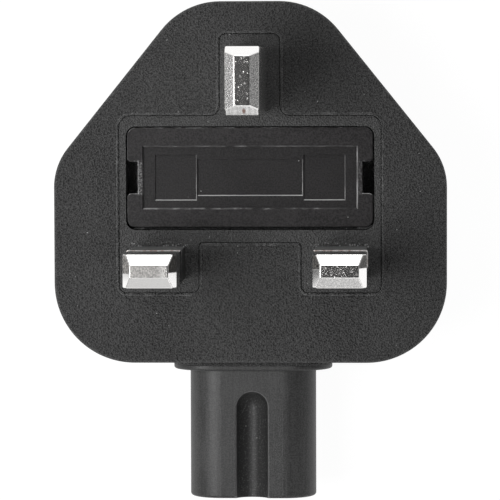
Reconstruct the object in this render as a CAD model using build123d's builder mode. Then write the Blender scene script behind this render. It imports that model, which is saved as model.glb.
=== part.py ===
from build123d import *
from math import radians, tan
import os

# Angled mains plug adapter: a moulded plug with three rectangular pins, and a figure-of-eight
# connector that stands out of its lower edge at a right angle to the pins. Millimetres and degrees.
# It lies on its back. X runs right and Y runs up to the earth pin, as seen from the pins, and Z
# rises out of the pin face. The origin is on the back face, straight behind the midpoint of the
# live and neutral pins. A "reach" is a distance in Y from the line through those two pins.

# Moulded body: outline before its corners are rounded
body_width = 48.0
body_depth = 18.0
top_reach = 31.86
bottom_reach = 12.3
top_width = 16.0
shoulder_reach = 11.9
top_radius = 9.2
shoulder_radius = 7.7
bottom_radius = 9.8
side_draft = 1.5
face_edge_radius = 0.5
back_edge_radius = 2.5
back_wall = 3.6

# Pins, as the plug standard lays them out
pin_spacing = 22.23
earth_reach = 22.23
line_pin_width = 6.35
line_pin_thickness = 3.975
line_pin_length = 17.7
earth_pin_width = 3.975
earth_pin_height = 7.95
earth_pin_length = 22.73
pin_edge_radius = 0.2
line_side_bevel = 1.29
line_end_bevel = 0.92
earth_side_bevel = 1.1
earth_end_bevel = 1.1
tip_side_slope = 34.0
tip_end_slope = 59.0
pin_lip_step = 0.12
pin_lip_height = 0.3
pin_lip_radius = 0.1
earth_socket_floor = 2.0
sleeve_length = 9.0
sleeve_root = 3.0
sleeve_wall = 0.65
spigot_radius = 1.3
spigot_play = 0.03
peen_radius = 2.1
peen_height = 0.6
peen_bevel = 0.3

# Pin bridge: the hard moulding that holds the pins and the fuse bay
bridge_sink = 0.12
pin_wall = 1.75
bay_rim_side = 0.85
bay_rim_top = 1.36
bay_rim_low = 1.6
field_radius = 1.5
leg_radius = 0.95
crotch_radius = 0.4
tower_radius = 0.9
tower_foot_radius = 1.1
seam_bevel = 0.1
seam_lip_width = 0.3
seam_lip_height = 0.08
seam_lip_slope = 60.0
deck_reach = 7.0
deck_thickness = 2.2
cover_wall = 1.2
cover_radius = 1.5

# Cartridge fuse
fuse_length = 25.4
fuse_diameter = 6.35
tube_diameter = 5.6
tube_bore = 3.6
cap_length = 5.8
cap_wall = 0.35
cap_play = 0.02
wire_diameter = 0.3

# Fuse carrier: a lid in the pin face with two saddles under it
carrier_reach = 10.4
lid_overlap = 2.3
lid_height = 12.2
lid_thickness = 1.8
lid_radius = 1.05
lid_edge_radius = 0.15
lid_sink = 0.15
lid_gap = 0.15
lid_gap_low = 0.3
notch_depth = 1.3
notch_width = 3.85
notch_radius = 0.5
pry_depth = 3.0
pry_margin = 0.3
panel_end_margin = 1.85
panel_side_margin = 2.22
panel_depth = 0.4
panel_draft = 22.0
band_width = 12.9
band_height = 4.5
band_depth = 0.25
square_width = 5.1
square_height = 5.6
square_spacing = 18.15
square_depth = 0.22
saddle_spacing = 8.4
saddle_width = 2.6
saddle_grip = 1.0
saddle_play = 0.05
fuse_headroom = 0.2
fuse_footroom = 0.4
bay_end_play = 0.3
bay_side_play = 0.15
carrier_play = 0.25

# Stamped strips: fuse clips and links
strap_thickness = 0.5
strap_width = 2.4
strap_play = 0.2
strap_bend = 1.6
pad_radius = 2.6
clip_width = 4.0
clip_play = 0.04
clip_rise = 1.6
clip_lip = 1.0
clip_flare = 0.3
clip_bend = 0.25
window_play = 0.15

# Figure-of-eight connector, its axis half-way through the body
nose_width = 15.7
nose_thickness = 8.0
nose_length = 15.95
nose_end_radius = 0.38
groove_width = 4.0
groove_depth = 1.5
groove_land = 2.6
groove_edge_radius = 0.15
boss_width = 20.0
boss_thickness = 10.0
boss_height = 0.75
boss_sunk = 1.0
boss_edge_radius = 0.22
flange_step = 0.12
flange_height = 0.6
flange_edge_radius = 0.3
root_step = 0.6
lock_width = 1.2
lock_depth = 0.6
socket_spacing = 8.6
entry_diameter = 3.3
entry_length = 2.0
entry_bevel = 0.4
contact_bore = 2.44
contact_wall = 0.33
contact_length = 14.0
contact_play = 0.05
contact_slit = 0.4
tail_width = 2.2
tail_lap = 0.8
tail_drop = 0.1
tail_play = 0.15
rivet_radius = 0.8
rivet_play = 0.03
rivet_head_radius = 1.4
rivet_head_height = 0.5
rivet_room = 0.3

# Levels in Z, from the pin face down to the back
face_level = body_depth
bridge_level = face_level - bridge_sink
lid_level = bridge_level - lid_sink
lid_seat = lid_level - lid_thickness
fuse_level = lid_seat - fuse_headroom - fuse_diameter / 2
bay_floor = fuse_level - fuse_diameter / 2 - fuse_footroom
connector_level = body_depth / 2
contact_radius = contact_bore / 2 + contact_wall
bridge_back = connector_level - contact_radius - tail_drop
strap_back = bridge_back - strap_thickness
line_tip_level = face_level + line_pin_length
earth_tip_level = face_level + earth_pin_length
earth_foot = bridge_back + earth_socket_floor
sleeve_foot = face_level - sleeve_root
sleeve_end = face_level + sleeve_length

# Places in X and Y
pin_place = pin_spacing / 2
lid_width = fuse_length + 2 * lid_overlap
bay_width = lid_width + 2 * lid_gap
bay_low = carrier_reach - lid_height / 2 - lid_gap_low
bay_high = carrier_reach + lid_height / 2 + lid_gap
field_low = bay_low - bay_rim_low
field_high = bay_high + bay_rim_top
leg_inner = pin_place - line_pin_width / 2 - pin_wall
leg_outer = pin_place + line_pin_width / 2 + pin_wall
leg_low = -line_pin_thickness / 2 - pin_wall
bridge_half = max(bay_width / 2 + bay_rim_side, leg_outer)
tower_half = earth_pin_width / 2 + pin_wall
tower_top = earth_reach + earth_pin_height / 2 + pin_wall
bay_length = fuse_length + 2 * bay_end_play
clip_inner = fuse_diameter / 2 + clip_play
clip_outer = clip_inner + strap_thickness
bay_half = clip_outer + clip_flare + bay_side_play
clip_place = fuse_length / 2 - cap_length / 2
run_reach = carrier_reach - clip_outer - strap_width / 2
socket_place = socket_spacing / 2
rivet_reach = deck_reach - cover_wall - strap_play - strap_width / 2
boss_end = bottom_reach + boss_height
flange_end = boss_end + flange_height
nose_end = flange_end + nose_length
contact_front = nose_end - entry_length
contact_rear = contact_front - contact_length
groove_start = flange_end + groove_land + groove_width / 2
groove_radius = (groove_width**2 / 4 + groove_depth**2) / (2 * groove_depth)
groove_rise = nose_thickness / 2 + groove_radius - groove_depth
pick = 0.01

os.makedirs("parts", exist_ok=True)


def connector_plane(reach):
    """Plane across the connector at a reach below the live and neutral line, facing outwards."""
    return Plane(origin=(0, -reach, connector_level), x_dir=(1, 0, 0), z_dir=(0, -1, 0))


def fuse_plane(x):
    """Plane across the fuse at a place along it, with its local X along the part's Y."""
    return Plane(origin=(x, carrier_reach, fuse_level), x_dir=(0, 1, 0), z_dir=(1, 0, 0))


def corners_at(sketch, reach):
    """Corners of a sketch that lie at one reach, from left to right."""
    return sketch.vertices().filter_by_position(Axis.Y, reach - pick, reach + pick).sort_by(Axis.X)


def bridge_outline(level):
    """Outline of the bridge at a level in Z: a field round the fuse bay, a leg round each lower pin
    and the tower round the earth pin."""
    leg_width = bridge_half - leg_inner
    leg_place = leg_inner + leg_width / 2
    with BuildSketch(Plane.XY.offset(level)) as outline:
        with Locations((0, (field_low + field_high) / 2)):
            Rectangle(2 * bridge_half, field_high - field_low)
        with Locations((-leg_place, (leg_low + field_high) / 2), (leg_place, (leg_low + field_high) / 2)):
            Rectangle(leg_width, field_high - leg_low)
        with Locations((0, (field_low + tower_top) / 2)):
            Rectangle(2 * tower_half, tower_top - field_low)
        fillet(corners_at(outline, tower_top), tower_radius)
        fillet(corners_at(outline, field_high)[1:-1], tower_foot_radius)
        fillet([corners_at(outline, field_high)[0], corners_at(outline, field_high)[-1]], field_radius)
        fillet(corners_at(outline, field_low), crotch_radius)
        fillet(corners_at(outline, leg_low), leg_radius)
    return outline.sketch


def deck_outline():
    """Deck at the back of the bridge, which carries the straps down to the connector's root."""
    with BuildSketch(Plane.XY.offset(bridge_back)) as outline:
        with Locations((0, (bay_low - deck_reach) / 2)):
            Rectangle(2 * bridge_half, bay_low + deck_reach)
    return outline.sketch


def cover_outline():
    """Tray behind the bridge and its deck."""
    with BuildSketch(Plane.XY.offset(back_wall)) as outline:
        with Locations((0, (field_high - deck_reach) / 2)):
            RectangleRounded(2 * bridge_half, field_high + deck_reach, cover_radius)
    return outline.sketch


def clip_profile(x):
    """Section of a fuse clip: two jaws with flared lips on a web under the bridge."""
    web_top = bridge_back - fuse_level
    with BuildSketch(fuse_plane(x)) as profile:
        with BuildLine():
            Polyline(
                (0, web_top - strap_thickness),
                (clip_outer, web_top - strap_thickness),
                (clip_outer, clip_rise),
                (clip_outer + clip_flare, clip_rise + clip_lip),
                (clip_inner + clip_flare, clip_rise + clip_lip),
                (clip_inner, clip_rise),
                (clip_inner, web_top),
                (0, web_top),
            )
            mirror(about=Plane.YZ)
        make_face()
        fillet(corners_at(profile, web_top - strap_thickness), clip_bend + strap_thickness)
        fillet(corners_at(profile, web_top), clip_bend)
    return profile.sketch


def blade_profile(place, across, width, foot, tip, bevel, slope):
    """Pin seen square to one of its sides: a bar whose tip narrows by a bevel at each edge."""
    facing = across.direction.cross(Axis.Z.direction)
    with BuildSketch(Plane(origin=(*place, 0), x_dir=across.direction, z_dir=facing)) as profile:
        with BuildLine():
            Polyline(
                (0, foot),
                (width / 2, foot),
                (width / 2, tip - bevel * tan(radians(slope))),
                (width / 2 - bevel, tip),
                (0, tip),
            )
            mirror(about=Plane.YZ)
        make_face()
    return profile.sketch


def pin_blade(place, along, across, foot, tip, width, thickness, end_bevel, side_bevel):
    """Bare metal of a pin, where its broad and its narrow profile meet, with softened edges."""
    with BuildPart() as blade:
        extrude(blade_profile(place, along, width, foot, tip, end_bevel, tip_end_slope),
                amount=thickness / 2, both=True)
        extrude(blade_profile(place, across, thickness, foot, tip, side_bevel, tip_side_slope),
                amount=width / 2, both=True, mode=Mode.INTERSECT)
        fillet(blade.edges() - blade.faces().sort_by(Axis.Z)[0].edges(), pin_edge_radius)
    return blade.part


# Buried end of the connector, with a groove round it that locks it into the body
with BuildPart() as connector_root:
    root_width = nose_width + 2 * root_step
    root_thickness = nose_thickness + 2 * root_step
    lock_start = (deck_reach + boss_end - lock_width) / 2
    with BuildSketch(connector_plane(deck_reach)):
        SlotOverall(root_width, root_thickness)
    extrude(amount=lock_start - deck_reach)
    with BuildSketch(connector_plane(lock_start)):
        SlotOverall(root_width - 2 * lock_depth, root_thickness - 2 * lock_depth)
    extrude(amount=lock_width)
    with BuildSketch(connector_plane(lock_start + lock_width)):
        SlotOverall(root_width, root_thickness)
    extrude(amount=boss_end - lock_start - lock_width)

# Body, moulded round the bridge, its cover and the connector's root
with BuildPart() as outer_body:
    with BuildSketch(Plane.XY.offset(face_level)) as body_outline:
        with BuildLine():
            Polyline(
                (0, top_reach),
                (top_width / 2, top_reach),
                (body_width / 2, shoulder_reach),
                (body_width / 2, -bottom_reach),
                (0, -bottom_reach),
            )
            mirror(about=Plane.YZ)
        make_face()
        fillet(corners_at(body_outline, top_reach), top_radius)
        fillet(corners_at(body_outline, shoulder_reach), shoulder_radius)
        fillet(corners_at(body_outline, -bottom_reach), bottom_radius)
    extrude(amount=-body_depth, taper=side_draft)
    fillet(outer_body.faces().sort_by(Axis.Z)[0].edges(), back_edge_radius)
    fillet(outer_body.faces().sort_by(Axis.Z)[-1].edges(), face_edge_radius)
    with BuildSketch(connector_plane(bottom_reach - boss_sunk)):
        SlotOverall(boss_width, boss_thickness)
    extrude(amount=boss_sunk + boss_height)
    fillet(outer_body.faces().sort_by(Axis.Y)[0].edges(), boss_edge_radius)
    with BuildSketch(Plane.XY.offset(face_level)):
        add(bridge_outline(face_level))
        offset(amount=seam_lip_width)
    extrude(amount=seam_lip_height, taper=seam_lip_slope)
    extrude(bridge_outline(bridge_back), amount=body_depth, mode=Mode.SUBTRACT)
    extrude(deck_outline(), amount=deck_thickness, mode=Mode.SUBTRACT)
    extrude(cover_outline(), amount=bridge_back - back_wall, mode=Mode.SUBTRACT)
    add(connector_root.part, mode=Mode.SUBTRACT)
    seam = outer_body.faces().sort_by(Axis.Z)[-1].inner_wires()[0]
    chamfer(seam.edges(), seam_bevel)
outer_body.part.label = "outer_body"
export_step(outer_body.part, "parts/outer_body.step")

# Pin bridge, with the pin sockets and the stepped fuse bay
with BuildPart() as pin_bridge:
    extrude(bridge_outline(bridge_back), amount=bridge_level - bridge_back)
    extrude(deck_outline(), amount=deck_thickness)
    with BuildSketch(Plane.XY.offset(lid_seat)):
        with Locations((0, (bay_low + bay_high) / 2)):
            RectangleRounded(bay_width, bay_high - bay_low, lid_radius + lid_gap)
    extrude(amount=body_depth, mode=Mode.SUBTRACT)
    with BuildSketch(Plane.XY.offset(bay_floor)):
        with Locations((0, carrier_reach)):
            Rectangle(bay_length, 2 * bay_half)
    extrude(amount=lid_seat - bay_floor, mode=Mode.SUBTRACT)
    with BuildSketch(Plane.XY.offset(lid_seat)):
        with Locations((0, carrier_reach)):
            Rectangle(bay_width, notch_width + 2 * pry_margin)
    extrude(amount=-pry_depth, mode=Mode.SUBTRACT)
    with BuildSketch(Plane.XY.offset(bridge_back)):
        with Locations((-clip_place, carrier_reach), (clip_place, carrier_reach)):
            Rectangle(clip_width + 2 * window_play, 2 * (clip_outer + window_play))
    extrude(amount=bay_floor - bridge_back, mode=Mode.SUBTRACT)
    with BuildSketch(Plane.XY.offset(bridge_back)):
        with Locations((-pin_place, 0), (pin_place, 0)):
            RectangleRounded(line_pin_width, line_pin_thickness, pin_edge_radius)
    extrude(amount=body_depth, mode=Mode.SUBTRACT)
    with BuildSketch(Plane.XY.offset(earth_foot)):
        with Locations((0, earth_reach)):
            RectangleRounded(earth_pin_width, earth_pin_height, pin_edge_radius)
    extrude(amount=body_depth, mode=Mode.SUBTRACT)
    tail_pocket = deck_reach - rivet_reach + rivet_head_radius + rivet_room
    with BuildSketch(Plane.XY.offset(bridge_back)):
        with Locations((-socket_place, tail_pocket / 2 - deck_reach),
                       (socket_place, tail_pocket / 2 - deck_reach)):
            Rectangle(2 * (rivet_head_radius + rivet_room), tail_pocket)
    extrude(amount=deck_thickness, mode=Mode.SUBTRACT)
    chamfer(pin_bridge.faces().sort_by(Axis.Z)[-1].outer_wire().edges(), seam_bevel)
pin_bridge.part.label = "pin_bridge"
export_step(pin_bridge.part, "parts/pin_bridge.step")

# Tray that keeps the body's moulding out of the straps and clips
with BuildPart() as bridge_cover:
    extrude(cover_outline(), amount=bridge_back - back_wall)
    offset(amount=-cover_wall, openings=bridge_cover.faces().sort_by(Axis.Z)[-1])
bridge_cover.part.label = "bridge_cover"
export_step(bridge_cover.part, "parts/bridge_cover.step")

# Earth pin, held in the tower
with BuildPart() as earth_pin:
    add(pin_blade((0, earth_reach), Axis.Y, Axis.X, earth_foot, earth_tip_level,
                  earth_pin_height, earth_pin_width, earth_end_bevel, earth_side_bevel))
earth_pin.part.label = "earth_pin"
export_step(earth_pin.part, "parts/earth_pin.step")

# Live and neutral pins, with a small lip above their insulating sleeves, a neck under them, and a
# spigot peened over the strap
for label, place in (("live_pin", (-pin_place, 0)), ("neutral_pin", (pin_place, 0))):
    with BuildPart() as line_pin:
        add(pin_blade(place, Axis.X, Axis.Y, sleeve_end, line_tip_level,
                      line_pin_width, line_pin_thickness, line_end_bevel, line_side_bevel))
        with BuildSketch(Plane.XY.offset(sleeve_end)):
            with Locations(place):
                RectangleRounded(line_pin_width + 2 * pin_lip_step, line_pin_thickness + 2 * pin_lip_step,
                                 pin_edge_radius + pin_lip_step)
        extrude(amount=pin_lip_height)
        pin_lip_level = sleeve_end + pin_lip_height
        pin_lip = line_pin.faces().filter_by_position(Axis.Z, pin_lip_level - pick, pin_lip_level + pick)[0]
        fillet(pin_lip.outer_wire().edges(), pin_lip_radius)
        with BuildSketch(Plane.XY.offset(sleeve_foot)):
            with Locations(place):
                Rectangle(line_pin_width - 2 * sleeve_wall, line_pin_thickness - 2 * sleeve_wall)
        extrude(amount=sleeve_root + sleeve_length)
        with BuildSketch(Plane.XY.offset(bridge_back)):
            with Locations(place):
                RectangleRounded(line_pin_width, line_pin_thickness, pin_edge_radius)
        extrude(amount=sleeve_foot - bridge_back)
        with BuildSketch(Plane.XY.offset(bridge_back)):
            with Locations(place):
                Circle(spigot_radius)
        extrude(amount=-strap_thickness)
        with BuildSketch(Plane.XY.offset(strap_back)):
            with Locations(place):
                Circle(peen_radius)
        extrude(amount=-peen_height)
        chamfer(line_pin.faces().sort_by(Axis.Z)[0].edges(), peen_bevel)
    line_pin.part.label = label
    export_step(line_pin.part, f"parts/{label}.step")

    with BuildPart() as pin_sleeve:
        with BuildSketch(Plane.XY.offset(sleeve_foot)):
            with Locations(place):
                RectangleRounded(line_pin_width, line_pin_thickness, pin_edge_radius)
                Rectangle(line_pin_width - 2 * sleeve_wall, line_pin_thickness - 2 * sleeve_wall,
                          mode=Mode.SUBTRACT)
        extrude(amount=sleeve_root + sleeve_length)
    pin_sleeve.part.label = f"{label}_sleeve"
    export_step(pin_sleeve.part, f"parts/{label}_sleeve.step")

# Live clip: the fuse clip with a tab under the live pin
with BuildPart() as live_clip:
    extrude(clip_profile(-clip_place - clip_width / 2), amount=clip_width)
    with BuildSketch(Plane.XY.offset(strap_back)):
        with BuildLine():
            Line((-pin_place, 0), (-pin_place, carrier_reach - clip_inner))
        trace(line_width=strap_width)
        with Locations((-pin_place, 0)):
            Circle(pad_radius)
            Circle(spigot_radius + spigot_play, mode=Mode.SUBTRACT)
    extrude(amount=strap_thickness)
live_clip.part.label = "live_clip"
export_step(live_clip.part, "parts/live_clip.step")

# Load clip: the fuse clip with a strap that runs between the pins to the connector's live contact
with BuildPart() as load_clip:
    extrude(clip_profile(clip_place - clip_width / 2), amount=clip_width)
    with BuildSketch(Plane.XY.offset(strap_back)):
        with BuildLine():
            FilletPolyline(
                (clip_place, carrier_reach),
                (clip_place, run_reach),
                (-socket_place, run_reach),
                (-socket_place, -rivet_reach),
                radius=strap_bend,
            )
        trace(line_width=strap_width)
        with Locations((-socket_place, -rivet_reach)):
            Circle(strap_width / 2)
            Circle(rivet_radius + rivet_play, mode=Mode.SUBTRACT)
    extrude(amount=strap_thickness)
load_clip.part.label = "load_clip"
export_step(load_clip.part, "parts/load_clip.step")

# Neutral link, from the neutral pin to the connector's neutral contact
with BuildPart() as neutral_link:
    with BuildSketch(Plane.XY.offset(strap_back)):
        with BuildLine():
            FilletPolyline(
                (pin_place, 0),
                (pin_place, -rivet_reach),
                (socket_place, -rivet_reach),
                radius=strap_bend,
            )
        trace(line_width=strap_width)
        with Locations((pin_place, 0)):
            Circle(pad_radius)
            Circle(spigot_radius + spigot_play, mode=Mode.SUBTRACT)
        with Locations((socket_place, -rivet_reach)):
            Circle(strap_width / 2)
            Circle(rivet_radius + rivet_play, mode=Mode.SUBTRACT)
    extrude(amount=strap_thickness)
neutral_link.part.label = "neutral_link"
export_step(neutral_link.part, "parts/neutral_link.step")

# Rivets through the straps and the contacts' tails
with BuildPart() as link_rivets:
    rivet_places = ((-socket_place, -rivet_reach), (socket_place, -rivet_reach))
    with BuildSketch(Plane.XY.offset(strap_back)):
        with Locations(*rivet_places):
            Circle(rivet_radius)
    extrude(amount=strap_thickness + contact_wall)
    with BuildSketch(Plane.XY.offset(strap_back)):
        with Locations(*rivet_places):
            Circle(rivet_head_radius)
    extrude(amount=-rivet_head_height)
    with BuildSketch(Plane.XY.offset(bridge_back + contact_wall)):
        with Locations(*rivet_places):
            Circle(rivet_head_radius)
    extrude(amount=rivet_head_height)
link_rivets.part.label = "link_rivets"
export_step(link_rivets.part, "parts/link_rivets.step")

# Connector: buried root, flange on the body's boss, and the grooved nose with two entries
with BuildPart() as connector_body:
    add(connector_root.part)
    with BuildSketch(connector_plane(boss_end)):
        SlotOverall(boss_width - 2 * flange_step, boss_thickness - 2 * flange_step)
    extrude(amount=flange_height)
    fillet(connector_body.faces().sort_by(Axis.Y)[0].edges(), flange_edge_radius)
    with BuildSketch(connector_plane(flange_end)):
        SlotOverall(nose_width, nose_thickness)
    extrude(amount=nose_length)
    fillet(connector_body.faces().sort_by(Axis.Y)[0].edges(), nose_end_radius)
    with BuildSketch(connector_plane(groove_start)):
        with Locations((0, -groove_rise), (0, groove_rise)):
            Circle(groove_radius)
    extrude(amount=nose_length, mode=Mode.SUBTRACT)
    with Locations((0, -groove_start, connector_level - groove_rise),
                   (0, -groove_start, connector_level + groove_rise)):
        Sphere(groove_radius, mode=Mode.SUBTRACT)
    rims = connector_body.edges().filter_by_position(Axis.Y, -nose_end, pick - flange_end - groove_land)
    rims = rims.filter_by_position(Axis.X, -groove_width / 2 - pick, groove_width / 2 + pick)
    rims = rims.filter_by(lambda edge: abs(edge.center().Z - connector_level) > nose_thickness / 2 - pick)
    fillet(rims, groove_edge_radius)
    with BuildSketch(connector_plane(nose_end)):
        with Locations((-socket_place, 0), (socket_place, 0)):
            Circle(entry_diameter / 2)
    extrude(amount=-entry_length, mode=Mode.SUBTRACT)
    entry_edges = connector_body.edges().filter_by(GeomType.CIRCLE)
    chamfer(entry_edges.filter_by_position(Axis.Y, -nose_end - pick, -nose_end + pick)
            .filter_by(lambda edge: abs(edge.radius - entry_diameter / 2) < pick), entry_bevel)
    with BuildSketch(connector_plane(contact_front)):
        with Locations((-socket_place, 0), (socket_place, 0)):
            Circle(contact_radius + contact_play)
    extrude(amount=deck_reach - contact_front, mode=Mode.SUBTRACT)
    tail_channel = contact_radius + tail_drop + contact_play
    with BuildSketch(connector_plane(deck_reach)):
        with Locations((-socket_place, -tail_channel / 2), (socket_place, -tail_channel / 2)):
            Rectangle(tail_width + 2 * tail_play, tail_channel)
    extrude(amount=contact_rear + tail_lap + tail_play - deck_reach, mode=Mode.SUBTRACT)
connector_body.part.label = "connector_body"
export_step(connector_body.part, "parts/connector_body.step")

# Contacts: slit sleeves rolled from sheet, each with a flat tail back to its strap
for label, place in (("live_contact", -socket_place), ("neutral_contact", socket_place)):
    with BuildPart() as contact:
        tail_end = rivet_reach - tail_width / 2
        with BuildSketch(connector_plane(contact_rear)):
            with Locations((place, 0)):
                Circle(contact_radius)
                Circle(contact_bore / 2, mode=Mode.SUBTRACT)
            with Locations((place, contact_radius)):
                Rectangle(contact_slit, 2 * contact_radius, mode=Mode.SUBTRACT)
        extrude(amount=contact_length)
        with BuildSketch(connector_plane(tail_end)):
            with Locations((place, contact_wall / 2 - contact_radius - tail_drop)):
                Rectangle(tail_width, contact_wall)
        extrude(amount=contact_rear + tail_lap - tail_end)
        with BuildSketch(Plane.XY.offset(bridge_back)):
            with Locations((place, -rivet_reach)):
                Circle(rivet_radius + rivet_play)
        extrude(amount=contact_wall, mode=Mode.SUBTRACT)
    contact.part.label = label
    export_step(contact.part, f"parts/{label}.step")

# Fuse carrier: lid with pry notches and recessed panel, and the two saddles that grip the fuse
with BuildPart() as fuse_carrier:
    with BuildSketch(Plane.XY.offset(lid_seat)) as lid_outline:
        with Locations((0, carrier_reach)):
            RectangleRounded(lid_width, lid_height, lid_radius)
        with Locations((-lid_width / 2, carrier_reach), (lid_width / 2, carrier_reach)):
            Rectangle(2 * notch_depth, notch_width, mode=Mode.SUBTRACT)
        ends = lid_outline.vertices().group_by(Axis.X)
        notch_mouths = ends[0] + ends[-1]
        fillet(notch_mouths.filter_by_position(Axis.Y, carrier_reach - notch_width / 2 - pick,
                                               carrier_reach + notch_width / 2 + pick), notch_radius)
    extrude(amount=lid_thickness)
    fillet(fuse_carrier.faces().sort_by(Axis.Z)[-1].edges(), lid_edge_radius)
    with BuildSketch(Plane.XY.offset(lid_level)):
        with Locations((0, carrier_reach)):
            Rectangle(lid_width - 2 * panel_end_margin, lid_height - 2 * panel_side_margin)
    extrude(amount=-panel_depth, taper=panel_draft, mode=Mode.SUBTRACT)
    panel_level = lid_level - panel_depth
    with BuildSketch(Plane.XY.offset(panel_level)):
        with Locations((0, carrier_reach)):
            Rectangle(band_width, band_height)
    extrude(amount=-band_depth, taper=panel_draft, mode=Mode.SUBTRACT)
    with BuildSketch(Plane.XY.offset(panel_level)):
        with Locations((-square_spacing / 2, carrier_reach), (square_spacing / 2, carrier_reach)):
            Rectangle(square_width, square_height)
    extrude(amount=-square_depth, taper=panel_draft, mode=Mode.SUBTRACT)
    saddle_top = lid_seat - fuse_level
    with BuildSketch(fuse_plane(-saddle_spacing / 2), fuse_plane(saddle_spacing / 2)):
        with Locations((0, (saddle_top - saddle_grip) / 2)):
            Rectangle(2 * (bay_half - carrier_play), saddle_top + saddle_grip)
        Circle(tube_diameter / 2 + saddle_play, mode=Mode.SUBTRACT)
    extrude(amount=saddle_width / 2, both=True)
fuse_carrier.part.label = "fuse_carrier"
export_step(fuse_carrier.part, "parts/fuse_carrier.step")

# Fuse: ceramic tube, wire and two end caps
with BuildPart() as fuse_tube:
    with BuildSketch(fuse_plane(0)):
        Circle(tube_diameter / 2)
        Circle(tube_bore / 2, mode=Mode.SUBTRACT)
    extrude(amount=fuse_length / 2 - cap_wall, both=True)
fuse_tube.part.label = "fuse_tube"
export_step(fuse_tube.part, "parts/fuse_tube.step")

with BuildPart() as fuse_wire:
    with BuildSketch(fuse_plane(0)):
        Circle(wire_diameter / 2)
    extrude(amount=fuse_length / 2 - cap_wall, both=True)
fuse_wire.part.label = "fuse_wire"
export_step(fuse_wire.part, "parts/fuse_wire.step")

for label, side in (("fuse_cap_live", -1), ("fuse_cap_load", 1)):
    with BuildPart() as fuse_cap:
        with BuildSketch(fuse_plane(side * fuse_length / 2)):
            Circle(fuse_diameter / 2)
        extrude(amount=-side * cap_length)
        with BuildSketch(fuse_plane(side * (fuse_length / 2 - cap_wall))):
            Circle(tube_diameter / 2 + cap_play)
        extrude(amount=-side * cap_length, mode=Mode.SUBTRACT)
    fuse_cap.part.label = label
    export_step(fuse_cap.part, f"parts/{label}.step")
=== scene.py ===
import math

import bpy
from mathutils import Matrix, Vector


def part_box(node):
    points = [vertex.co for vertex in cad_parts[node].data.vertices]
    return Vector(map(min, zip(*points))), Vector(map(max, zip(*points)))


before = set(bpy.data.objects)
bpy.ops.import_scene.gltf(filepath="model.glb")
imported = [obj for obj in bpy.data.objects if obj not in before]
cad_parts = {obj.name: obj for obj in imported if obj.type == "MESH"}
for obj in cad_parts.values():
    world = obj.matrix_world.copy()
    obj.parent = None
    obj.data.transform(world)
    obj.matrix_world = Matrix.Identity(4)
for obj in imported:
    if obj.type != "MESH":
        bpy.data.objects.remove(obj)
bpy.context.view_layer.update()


# Contact sleeves: two slit tubes inside the connector, each with a flat tail.
# They are rolled from thin brass sheet and tin plated, and a rivet joins each tail to its strap.
class Field:
    """A socket of a finish's node tree. Sums on it add Math nodes, and add() puts in any other node."""

    def __init__(self, tree, socket=None):
        self.tree = tree
        self.socket = socket

    def add(self, kind, settings=None, sockets=None, output=0):
        """Puts in one node: its settings first, then the values or links of its sockets."""
        node = self.tree.nodes.new(kind)
        for name, value in (settings or {}).items():
            setattr(node, name, value)
        for key, value in (sockets or {}).items():
            if isinstance(value, Field):
                self.tree.links.new(value.socket, node.inputs[key])
            else:
                node.inputs[key].default_value = value
        return Field(self.tree, node.outputs[output] if node.outputs else None)

    def maths(self, operation, *values):
        return self.add("ShaderNodeMath", {"operation": operation}, dict(enumerate(values)))

    def __add__(self, other):
        return self.maths("ADD", self, other)

    __radd__ = __add__

    def __sub__(self, other):
        return self.maths("SUBTRACT", self, other)

    def __rsub__(self, other):
        return self.maths("SUBTRACT", other, self)

    def __mul__(self, other):
        return self.maths("MULTIPLY", self, other)

    __rmul__ = __mul__

    def __abs__(self):
        return self.maths("ABSOLUTE", self)

    def at_least(self, other):
        return self.maths("MAXIMUM", self, other)

    def over(self, low, high):
        """0 at low and 1 at high, with a soft step between them. It falls where low is above high."""
        return self.add("ShaderNodeMapRange", {"interpolation_type": "SMOOTHSTEP"},
                        {"Value": self, "From Min": low, "From Max": high})

    def tint(self, low, high):
        """The colour low where this is 0 and high where it is 1."""
        factor, first_colour, second_colour, mixed_colour = 0, 6, 7, 2
        return self.add("ShaderNodeMix", {"data_type": "RGBA"},
                        {factor: self, first_colour: low, second_colour: high}, mixed_colour)

    def axes(self):
        return [self.add("ShaderNodeSeparateXYZ", {}, {0: self}, name) for name in "XYZ"]

    def stretched(self, x, y, z):
        """This place with its axes multiplied. A small factor draws a texture out along that axis."""
        return self.add("ShaderNodeVectorMath", {"operation": "MULTIPLY"}, {0: self, 1: (x, y, z)})

    def distance(self, point):
        return self.add("ShaderNodeVectorMath", {"operation": "DISTANCE"}, {0: self, 1: point}, "Value")

    def clouds(self, grain, detail=3):
        """Soft noise with features of about that many millimetres."""
        return self.add("ShaderNodeTexNoise", {}, {"Vector": self, "Scale": 1 / grain, "Detail": detail})

    def cells(self, grain, feature="F1", output="Distance"):
        """Cells of about that many millimetres."""
        return self.add("ShaderNodeTexVoronoi", {"feature": feature},
                        {"Vector": self, "Scale": 1 / grain}, output)

    def specks(self, spacing, reach, share):
        """Round specks in that share of the cells of that spacing. Their reach is a part of the spacing."""
        full_reach = 0.6 * reach
        full_share = 0.95 * share
        shade = self.cells(spacing, output="Color")
        chosen = shade.add("ShaderNodeSeparateColor", {}, {0: shade}).over(1 - share, 1 - full_share)
        return chosen * self.cells(spacing).over(reach, full_reach)


def grey(level, warmth=0.0):
    """A near-neutral colour, a little red for a positive warmth and a little blue for a negative one."""
    return (level * (1 + warmth), level, level * (1 - warmth), 1)


mm_per_metre = 1000


def new_finish(name):
    """An empty finish, and the place of a point on the piece in millimetres."""
    finish = bpy.data.materials.new(name)
    finish.use_nodes = True
    finish.node_tree.nodes.clear()
    metres = Field(finish.node_tree).add("ShaderNodeTexCoord", output="Object")
    return finish, metres.stretched(mm_per_metre, mm_per_metre, mm_per_metre)


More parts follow.
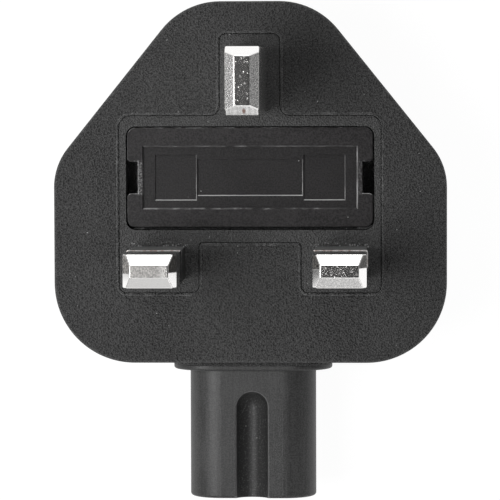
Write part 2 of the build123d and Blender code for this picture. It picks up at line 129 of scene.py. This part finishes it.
def close_finish(relief, surface):
    """Lays a relief, in millimetres, and the surface's sockets on a finish."""
    bump = relief.add("ShaderNodeBump", {}, {"Height": relief, "Distance": 1 / mm_per_metre, "Strength": 1})
    shader = bump.add("ShaderNodeBsdfPrincipled", {}, {**surface, "Normal": bump})
    shader.add("ShaderNodeOutputMaterial", {}, {"Surface": shader})


def dress(finish, *nodes):
    for node in nodes:
        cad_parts[node].material_slots[0].material = finish


dull_tin = grey(0.62, 0.03)
bright_tin = grey(0.74, 0.05)
contact_tin, place = new_finish("contact_tin")
rolling = place.stretched(6, 0.4, 6).clouds(1)
tarnish = place.clouds(1.8)
close_finish(0.004 * rolling, {
    "Base Color": tarnish.over(0.35, 0.7).tint(dull_tin, bright_tin),
    "Metallic": 1,
    "Roughness": 0.26 + 0.2 * rolling,
})
dress(contact_tin, "live_contact", "neutral_contact")

# Fuse clips, straps and rivets: stamped and folded from brass strip.
# The strip keeps its rolling lines, and is a little browner where fingers have touched it.
brown_brass = (0.66, 0.48, 0.21, 1)
clean_brass = (0.78, 0.61, 0.31, 1)
strap_brass, place = new_finish("strap_brass")
rolling = place.stretched(9, 0.5, 2).clouds(1)
tarnish = place.clouds(2.4)
close_finish(0.005 * rolling, {
    "Base Color": tarnish.over(0.3, 0.75).tint(brown_brass, clean_brass),
    "Metallic": 1,
    "Roughness": 0.24 + 0.22 * rolling + 0.1 * tarnish,
})
dress(strap_brass, "live_clip", "load_clip", "neutral_link", "link_rivets")


# Pins: brass bars with a bright plate, their tips swaged to bevels and left with the face of the cut.
# The live and neutral pins have a lip over the sleeve and sheared end bevels, torn in their upper half.
# Some long bevels are sandy, and the earth pin's lower end is streaked, with a brown stain.
def span(node):
    """A piece's lowest and highest corners, in millimetres."""
    return [[mm_per_metre * value for value in corner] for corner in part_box(node)]


def facing(place):
    """How far the surface faces right, up to the earth pin, and out of the pin face."""
    return place.add("ShaderNodeNewGeometry", output="Normal").axes()


(sleeve_inner, _, _), (sleeve_outer, sleeve_upper, sleeve_top) = span("neutral_pin_sleeve")
lip_upper = span("neutral_pin")[1][1]
earth_low = span("earth_pin")[0][1]
lip_height = 0.3
lip_top = sleeve_top + lip_height
lip_blur = 0.1
tear_slope = 0.022
tear_blur = 0.12
smooth_end_tilt = 0.35
bevel_low = -1.7
dulled_from = -8.4
dulled_to = -10.4
stain_shape = (1.5, 1, 0)
stain_place = (0.33, earth_low + 0.495, 0)
stain_reach = 0.42
stain_core = 0.15
bright_plate = grey(0.94, 0.012)
dull_and_shaded_plate = grey(0.45, 0.012)
dark_cut = grey(0.035, 0.05)
pale_cut = grey(0.42, 0.05)
brown_stain = (0.3, 0.2, 0.17, 1)
lip_shade_black = grey(0.008)
pin_plate, place = new_finish("pin_plate")
x, y, z = place.axes()
right, up, out = facing(place)
line_pin = y.over(earth_low, 0.5 * earth_low)
neutral_pin = x.over(0.9 * sleeve_inner, sleeve_inner)
tip_flat = out.over(0.93, 0.985)
live_flat = tip_flat * x.over(dulled_from, dulled_to)
end_bevel = abs(right).over(0.7, 0.8) * out.over(0.25, 0.4)
torn_end = end_bevel * (y - tear_slope * x).over(0, tear_blur)
smooth_end = end_bevel - torn_end
left_end = right.over(0.5, -0.5)
long_bevel = out.over(0.6, 0.7)
sandy_side = long_bevel * abs(right).over(0.4, 0.5) * abs(right).over(0.75, 0.65)
sandy_low = long_bevel * up.over(-0.4, -0.5) * neutral_pin
streaky_end = up.over(-0.7, -0.8) * (1 - line_pin)
wipes = place.stretched(5, 5, 0.35).clouds(1)
ripple = place.clouds(1.1)
pits = place.specks(0.34, 0.4, 0.45)
tears = place.stretched(1, 0.7, 1).clouds(0.17)
sand = place.clouds(0.14, 2)
streaks = place.stretched(2.6, 0.2, 0.2).clouds(1)
mottled = 0.012 + 0.016 * neutral_pin
cut_relief = tip_flat * (mottled * tears - 0.035 * pits) + 0.08 * torn_end * tears
sand_relief = (0.002 + 0.022 * sandy_side + 0.008 * sandy_low) * sand
wiped_relief = smooth_end_tilt * smooth_end * y + 0.003 * wipes + 0.008 * ripple
# Just above each sleeve the plate is made pale and non-metallic: a painted highlight of the metal's edge.
lip = line_pin * z.over(sleeve_top - lip_blur, sleeve_top) * z.over(lip_top + lip_blur, lip_top)
lip_inner_side = abs(x).over(sleeve_inner + 0.04, sleeve_inner)
lip_upper_side = y.over(lip_upper - 0.0575, lip_upper - 0.0275)
# The lip is painted near black on the sides facing the other pin, on its lower half and along its upper
# side: painted shade.
lip_painted_shade = lip * lip_inner_side.at_least(y.over(0.2, -0.2) + lip_upper_side)
browned_lip = lip * place.clouds(0.45).over(0.42, 0.6)
stain = place.stretched(*stain_shape).distance(stain_place).over(stain_reach, stain_core)
sanded = (sandy_side + 0.6 * sandy_low) * sand.over(0.3, 0.7)
streaked = 0.45 * streaky_end * streaks.over(0.42, 0.66)
# The smooth lower half of the left-facing end bevels is painted darker just below the tear, fading downward:
# painted shade.
shaded_end = 0.75 * smooth_end * left_end * y.over(bevel_low, 0)
plate = (sanded + streaked + shaded_end).tint(bright_plate, dull_and_shaded_plate)
# The torn cut is painted paler on the bevels that face left, toward the main lamp: a painted highlight.
cut_and_highlight = (tears.over(0.35, 0.7) * (0.2 + 0.8 * left_end) + 0.2 * pits).tint(dark_cut, pale_cut)
cut_plate = (torn_end + 0.55 * tip_flat + 0.3 * live_flat).tint(plate, cut_and_highlight)
stained_plate = (stain + 0.8 * browned_lip).tint(cut_plate, brown_stain)
close_finish(cut_relief + sand_relief + wiped_relief, {
    "Base Color": lip_painted_shade.tint(stained_plate, lip_shade_black),
    "Metallic": 1 - 0.85 * lip,
    "Roughness": 0.13 + 0.12 * wipes + 0.12 * torn_end + 0.28 * live_flat + 0.06 * sandy_side + 0.25 * lip,
})
dress(pin_plate, "earth_pin", "live_pin", "neutral_pin")

# Sleeves: black plastic moulded round the necks of the live and neutral pins, flush with the metal.
# They are smooth and a little shiny, with rubs along the pin, pale nicks, and a scuff on the live one.
# Their upper sides are painted paler, a painted light where the far lamp falls, and crumbs lie at the foot.
seam_lip_height = 0.08
face_level = span("outer_body")[1][2] - seam_lip_height
crumb_height = 1.5
scuff_place = (-8, 2, 25)
scuff_reach = 2.5
scuff_core = 1
black_sleeve = grey(0.014)
rubbed_sleeve = grey(0.03)
pale_marks_and_light = grey(0.4)
sleeve_plastic, place = new_finish("sleeve_plastic")
_, _, z = place.axes()
_, up, _ = facing(place)
rubs = place.stretched(4, 4, 0.3).clouds(1)
nicks = place.specks(1.1, 0.09, 0.16)
scuff = place.clouds(0.3).over(0.52, 0.62) * place.distance(scuff_place).over(scuff_reach, scuff_core)
crumbs = place.specks(0.5, 0.2, 0.35) * z.over(face_level + crumb_height, face_level + 0.2)
# Painted light: the upper sides, where the far lamp falls, are painted paler, more so along the rubs.
lit_upper_side = up.over(0.5, 0.9) * (0.2 + 0.28 * rubs)
plastic = rubs.over(0.5, 0.8).tint(black_sleeve, rubbed_sleeve)
close_finish(0.004 * rubs - 0.02 * nicks, {
    "Base Color": (nicks + scuff + crumbs + lit_upper_side).tint(plastic, pale_marks_and_light),
    "Roughness": 0.3 + 0.2 * rubs,
})
dress(sleeve_plastic, "live_pin_sleeve", "neutral_pin_sleeve")


# Pin bridge and its tray: hard black plastic with the fine even grain of a spark-eroded tool.
# They are moulded first and set in the body. The edges and the walls of the fuse bay are painted near black,
# a painted shade, the pockets under the lid's notches are painted pale, a painted light, and dust lies on
# the face and at the feet of the sleeves.
def sloping(out):
    """1 on edges and slopes, and 0 on faces that look straight out."""
    return out.over(0.97, 0.8)


(_, lid_low, _), (lid_end, lid_high, lid_level) = span("fuse_carrier")
bridge_level = span("pin_bridge")[1][2]
sleeve_middle = (sleeve_inner + sleeve_outer) / 2
sleeve_half_width = (sleeve_outer - sleeve_inner) / 2
lid_thickness = 1.8
lid_underside = lid_level - lid_thickness
notch_depth = 2.0
notch_end = lid_end - notch_depth
wall_top = bridge_level - 0.06
step_blur = 0.1
crumb_spread = 0.7
dark_bridge = grey(0.017)
pale_bridge = grey(0.052)
pale_dust_and_light = grey(0.25)
painted_shade_black = grey(0.004)
bridge_plastic, place = new_finish("bridge_plastic")
x, y, z = place.axes()
_, _, out = facing(place)
across = abs(x)
fine_grain = place.clouds(0.19, 0)
patches = place.clouds(7)
dust = place.specks(1.2, 0.08, 0.3)
under_lid = z.over(lid_underside + step_blur, lid_underside)
pocket = under_lid * across.over(notch_end, notch_end + step_blur)
# Painted shade: the walls of the fuse bay below the lid, and the bridge's edges and slopes outside the
# pockets, are painted near black.
shaded_bay_wall = (1 - under_lid) * z.over(wall_top, wall_top - step_blur)
shaded_edge = 0.65 * sloping(out) * (1 - pocket)
beside_sleeve = abs(across - sleeve_middle).over(sleeve_half_width + crumb_spread, sleeve_half_width)
above_sleeve = y.over(sleeve_upper - 0.5, sleeve_upper) * y.over(sleeve_upper + 0.75, sleeve_upper + 0.15)
crumbs = place.specks(0.3, 0.45, 0.6) * beside_sleeve * above_sleeve
grain = (0.8 * fine_grain + 0.2 * patches).over(0.3, 0.7)
plastic = grain.tint(dark_bridge, pale_bridge)
# Painted light: the pockets under the notches are painted pale as if lit inside; the specks are dust and
# crumbs.
dust_and_lit_pocket = (0.6 * pocket + dust + crumbs).tint(plastic, pale_dust_and_light)
close_finish(0.17 * fine_grain + 0.03 * dust, {
    "Base Color": (shaded_bay_wall + shaded_edge).tint(dust_and_lit_pocket, painted_shade_black),
    "Roughness": 0.46 + 0.2 * fine_grain,
})
dress(bridge_plastic, "pin_bridge", "bridge_cover")

# Connector: root, flange and nose in one black moulding, gripped by the body.
# The nose is drawn straight out of its tool, which leaves a satin skin with faint lines along it.
# The groove is painted darker, a painted shade, with painted highlights down its middle and along its rim.
# Crumbs of dust lie in the groove.
(_, _, connector_low), (_, _, connector_high) = span("connector_body")
axis_level = (connector_low + connector_high) / 2
nose_half_height = 4.0
groove_half_width = 2.0
groove_bend = -18.4
stripe_half_width = 0.75
stripe_taper = 0.55
dark_nose = grey(0.018)
pale_nose = grey(0.046)
groove_shade = grey(0.003)
connector_plastic, place = new_finish("connector_plastic")
x, y, z = place.axes()
_, up, _ = facing(place)
draw_lines = place.stretched(4, 0.16, 4).clouds(1)
skin = place.clouds(0.16, 0)
patches = place.clouds(5)
across = abs(x)
below_top = nose_half_height - abs(z - axis_level)
in_groove = across.over(groove_half_width, groove_half_width - 0.2) * below_top.over(0.05, 0.4)
groove = in_groove * abs(up).over(0.9, 0.7)
past_bend = (y - groove_bend).at_least(0)
highlight_stripe = groove * (across + stripe_taper * past_bend).over(stripe_half_width, 0)
crumbs = groove * (place.specks(0.7, 0.14, 0.3) + 0.35 * place.clouds(0.2).over(0.5, 0.75))
beside_groove = across.over(groove_half_width + 0.3, groove_half_width + 0.1)
rim_highlight = beside_groove * below_top.over(0.22, 0.14) * below_top.over(0.005, 0.03)
grain = (0.5 * skin + 0.3 * draw_lines + 0.2 * patches).over(0.36, 0.64)
plastic = grain.tint(dark_nose, pale_nose)
# Painted shade: the groove is painted near black, less along its middle, which is a painted highlight.
darkened_recess = (0.85 * groove - 0.6 * highlight_stripe).tint(plastic, groove_shade)
close_finish(0.015 * skin + 0.012 * draw_lines, {
    # The rim of the groove and its middle stripe are painted paler as highlights; the crumbs are dust.
    "Base Color": (0.4 * rim_highlight + 0.05 * highlight_stripe + 0.5 * crumbs).tint(darkened_recess, pale_dust_and_light),
    "Roughness": 0.42 + 0.14 * draw_lines + 0.25 * groove - 0.22 * highlight_stripe,
})
dress(connector_plastic, "connector_body")


# Outer body: softer black plastic, moulded round the bridge and the connector's root.
# Its tool is etched with a leather grain, its edges are paler in patches, partly wear and partly a painted
# highlight, and a few light specks of dust sit on it.
def edge_patches(place, out):
    """1 on the upper edges and slopes of a moulding, in patches that stand for wear and for a painted
    highlight, and 0 on its faces and walls.
    """
    return out.over(0.1, 0.3) * sloping(out) * (0.35 + 0.65 * place.clouds(1.5).over(0.4, 0.65))


shoulder_low = face_level - 0.8
shoulder_high = face_level - 0.5
dark_body = grey(0.015)
pale_body = grey(0.057)
body_plastic, place = new_finish("body_plastic")
_, _, z = place.axes()
_, _, out = facing(place)
uneven = place.clouds(0.9)
pebbles = place.cells(0.36, "SMOOTH_F1")
pores = place.clouds(0.2, 0)
patches = place.clouds(9)
dust = place.specks(1.4, 0.07, 0.3)
shoulder = z.over(shoulder_low, shoulder_high)
seam_lip = z.over(face_level - 0.03, face_level)
# The shoulder and the seam lip are paler in patches, partly wear and partly a painted highlight.
worn_and_highlit = edge_patches(place, out) * (0.1 * shoulder + 0.35 * seam_lip)
grain = (0.8 * pores + 0.2 * patches).over(0.3, 0.7)
plastic = grain.tint(dark_body, pale_body)
close_finish(0.27 * pores - 0.17 * pebbles + 0.09 * uneven + 0.03 * dust, {
    "Base Color": (worn_and_highlit + dust).tint(plastic, pale_dust_and_light),
    "Roughness": 0.5 + 0.2 * pores,
    "Specular IOR Level": 0.4,
})
dress(body_plastic, "outer_body")

# Cartridge fuse: a fired ceramic tube with a plated brass cap pressed over each end.
# The wire that melts runs through it from cap to cap.
speck_brown = grey(0.45, 0.1)
fired_white = grey(0.76, 0.04)
fuse_ceramic, place = new_finish("fuse_ceramic")
glaze = place.clouds(0.5)
kiln_specks = place.cells(0.5).over(0.05, 0.12)
close_finish(0.012 * glaze, {
    "Base Color": kiln_specks.tint(speck_brown, fired_white),
    "Roughness": 0.32 + 0.16 * glaze,
})
dress(fuse_ceramic, "fuse_tube")

dull_nickel = grey(0.66, 0.04)
bright_nickel = grey(0.78, 0.02)
cap_nickel, place = new_finish("cap_nickel")
turning = place.stretched(7, 0.6, 0.6).clouds(1)
dulled = place.clouds(1.6)
close_finish(0.006 * turning, {
    "Base Color": dulled.over(0.35, 0.7).tint(dull_nickel, bright_nickel),
    "Metallic": 1,
    "Roughness": 0.2 + 0.2 * turning,
})
dress(cap_nickel, "fuse_cap_live", "fuse_cap_load", "fuse_wire")

# Fuse carrier: a drawer of hard black plastic that pulls out for a new fuse.
# Its lid is smooth, with a sunk panel, a band and two squares sunk in that, and hairline scratches.
# The edges of these are pale, partly wear and partly painted light that is strongest where they face the
# lamps, and the notches are chewed by the tools that have pried it.
lid_middle = (lid_low + lid_high) / 2
notch_half_width = 1.925
panel_half_height = 3.88
edge_start = 0.25
edge_full = 0.18
chewed_least = 30
chewed_most = -10
dark_lid = (0.007, 0.006, 0.0065, 1)
pale_lid = (0.028, 0.026, 0.027, 1)
sunk_dark = grey(0.006)
pale_wear_and_light = grey(0.42)
glint_grey = grey(0.72)
carrier_plastic, place = new_finish("carrier_plastic")
x, y, z = place.axes()
right, up, out = facing(place)
skin = place.clouds(0.18, 0)
hairlines = place.stretched(0.3, 6, 1).clouds(1)
patches = place.clouds(4)
dust = place.specks(1.5, 0.06, 0.15)
across = abs(x)
above_middle = y - lid_middle
from_middle = abs(above_middle)
depth = lid_level - z
at_notch = from_middle.over(notch_half_width + 0.3, notch_half_width)
notch = at_notch * across.over(notch_end, notch_end + step_blur)
bite = across.over(lid_end - 0.7, lid_end - 1) * x.over(chewed_least, chewed_most)
chewed = notch * bite * place.clouds(0.25).over(0.4, 0.7)
toward_light = (1.2 * up - 0.8 * right).over(-0.6, 1.1)
panel_edge = from_middle.over(panel_half_height - 0.4, panel_half_height - 0.2)
broken = panel_edge * up.over(0.3, 0.6) * (place.clouds(1.2) - 0.01 * x).over(0.62, 0.46)
upper_edge = above_middle.over(panel_half_height - 0.48, panel_half_height - 0.28)
top_edge_highlight = upper_edge * up.over(-0.3, -0.6) * place.clouds(2).over(0.3, 0.6)
inside_panel = from_middle.over(panel_half_height - 0.38, panel_half_height - 0.78)
# Painted highlight: the upward sloping edges inside the panel are painted near white as a glint.
glint = up.over(0.4, 0.8) * sloping(out) * inside_panel * (1 - notch)
# The pale edges are partly wear and partly painted light, palest where they face the lamps and along the
# panel's top edge.
worn_and_lit_edge = (0.1 + 0.9 * toward_light + 0.5 * top_edge_highlight) * edge_patches(place, out)
pale = worn_and_lit_edge * (1 - 0.8 * broken) + 0.5 * chewed + dust
sunk = depth.over(0.3, 0.38)
# Painted shade: the lid's walls in the gap, and its lower and left edges, are painted near black.
shaded_wall = out.over(0.3, 0.1) * depth.over(0.12, 0.2) * (1 - notch)
shaded_low_edge = up.over(-0.1, -0.4) * (y - lid_low).over(edge_start, edge_full)
shaded_left_edge = right.over(-0.1, -0.4) * (x + lid_end).over(edge_start, edge_full)
grain = (0.6 * skin + 0.2 * hairlines + 0.2 * patches).over(0.3, 0.7)
plastic = grain.tint(dark_lid, pale_lid)
# The deepest sunk floors are darker.
darkened_recess = (0.3 * sunk).tint(plastic, sunk_dark)
rubbed_and_lit_plastic = glint.tint(pale.tint(darkened_recess, pale_wear_and_light), glint_grey)
close_finish(0.017 * skin + 0.006 * hairlines + 0.03 * dust, {
    "Base Color": (shaded_wall + shaded_low_edge + 0.6 * shaded_left_edge).tint(rubbed_and_lit_plastic, painted_shade_black),
    "Roughness": 0.46 + 0.16 * hairlines,
    "Specular IOR Level": 0.25,
})
dress(carrier_plastic, "fuse_carrier")

# Studio: a white table in a room with white end walls, greyer side walls and a dark ceiling.
# The table glows where it is seen, so that it is white and still takes a little of the adapter's shadow.
table_reach = 3.0
glow_share = 0.88
glow_strength = 1.08
table_paint = grey(0.94)
bpy.ops.mesh.primitive_plane_add(size=2 * table_reach)
table = bpy.context.object
table.name = "table"
table_white, place = new_finish("table_white")
rays = place.add("ShaderNodeLightPath", output="Is Camera Ray")
for kind in ("Is Glossy Ray", "Is Transmission Ray"):
    rays = rays + place.add("ShaderNodeLightPath", output=kind)
matt = place.add("ShaderNodeBsdfDiffuse", {}, {"Color": table_paint})
glow = place.add("ShaderNodeEmission", {}, {"Color": grey(1.0), "Strength": glow_strength})
mixed = place.add("ShaderNodeMixShader", {}, {0: glow_share * rays, 1: matt, 2: glow})
mixed.add("ShaderNodeOutputMaterial", {}, {"Surface": mixed})
table.data.materials.append(table_white)

left_paint = grey(0.35)
right_paint = grey(0.33)
far_paint = grey(0.78)
near_paint = grey(0.6)
ceiling_paint = grey(0.06)
room = bpy.data.worlds.new("room")
room.use_nodes = True
room.node_tree.nodes.clear()
bpy.context.scene.world = room
direction = Field(room.node_tree).add("ShaderNodeTexCoord", output="Generated")
x, y, z = direction.axes()
far_wall = y.over(0.35, 0.7)
near_wall = y.over(-0.35, -0.7)
ceiling = z.over(0.4, 0.7)
side_walls = x.over(-0.6, 0.6).tint(left_paint, right_paint)
four_walls = near_wall.tint(far_wall.tint(side_walls, far_paint), near_paint)
paint = ceiling.tint(four_walls, ceiling_paint)
walls = paint.add("ShaderNodeBackground", {}, {"Color": paint, "Strength": 1})
walls.add("ShaderNodeOutputWorld", {}, {"Surface": walls})


# Lamps: four square softboxes, which the camera doesn't see.
# The main one is close by on the left, one is low beyond the earth pin, and two are on the connector's side.
def softbox(name, azimuth, elevation, distance, width, watts):
    """A square lamp that looks at the pin face from that side, in degrees and metres."""
    lamp = bpy.data.objects.new(name, bpy.data.lights.new(name, "AREA"))
    lamp.data.size = width
    lamp.data.energy = watts
    turn = math.radians(azimuth)
    rise = math.radians(elevation)
    lamp.location = (distance * math.cos(rise) * math.cos(turn),
                     distance * math.cos(rise) * math.sin(turn),
                     distance * math.sin(rise))
    lamp.rotation_euler = (0, math.pi / 2 - rise, turn)
    lamp.visible_camera = False
    bpy.context.scene.collection.objects.link(lamp)


softbox("left_softbox", azimuth=188, elevation=62, distance=0.19, width=0.11, watts=0.268)
softbox("far_softbox", azimuth=92, elevation=26, distance=0.5, width=0.18, watts=0.28)
softbox("near_softbox", azimuth=-80, elevation=43, distance=0.5, width=0.25, watts=0.225)
softbox("right_softbox", azimuth=-35, elevation=30, distance=0.5, width=0.25, watts=0.2)

# Camera: looks down on the pins from a little right of and above the middle of the face.
# Its place in metres, its tilt in degrees and its focal length are fitted to the tips and roots of the pins.
image_width = 500
focal_pixels = 3206
camera_place = (0.016, 0.02325, 0.408)
camera_tilt = (-3.18, 2.35, -0.17)
camera = bpy.data.objects.new("camera", bpy.data.cameras.new("camera"))
camera.data.lens = camera.data.sensor_width * focal_pixels / image_width
camera.location = camera_place
camera.rotation_mode = "ZXY"
camera.rotation_euler = [math.radians(angle) for angle in camera_tilt]
bpy.context.scene.collection.objects.link(camera)
bpy.context.scene.camera = camera
bpy.context.scene.view_settings.view_transform = "Standard"
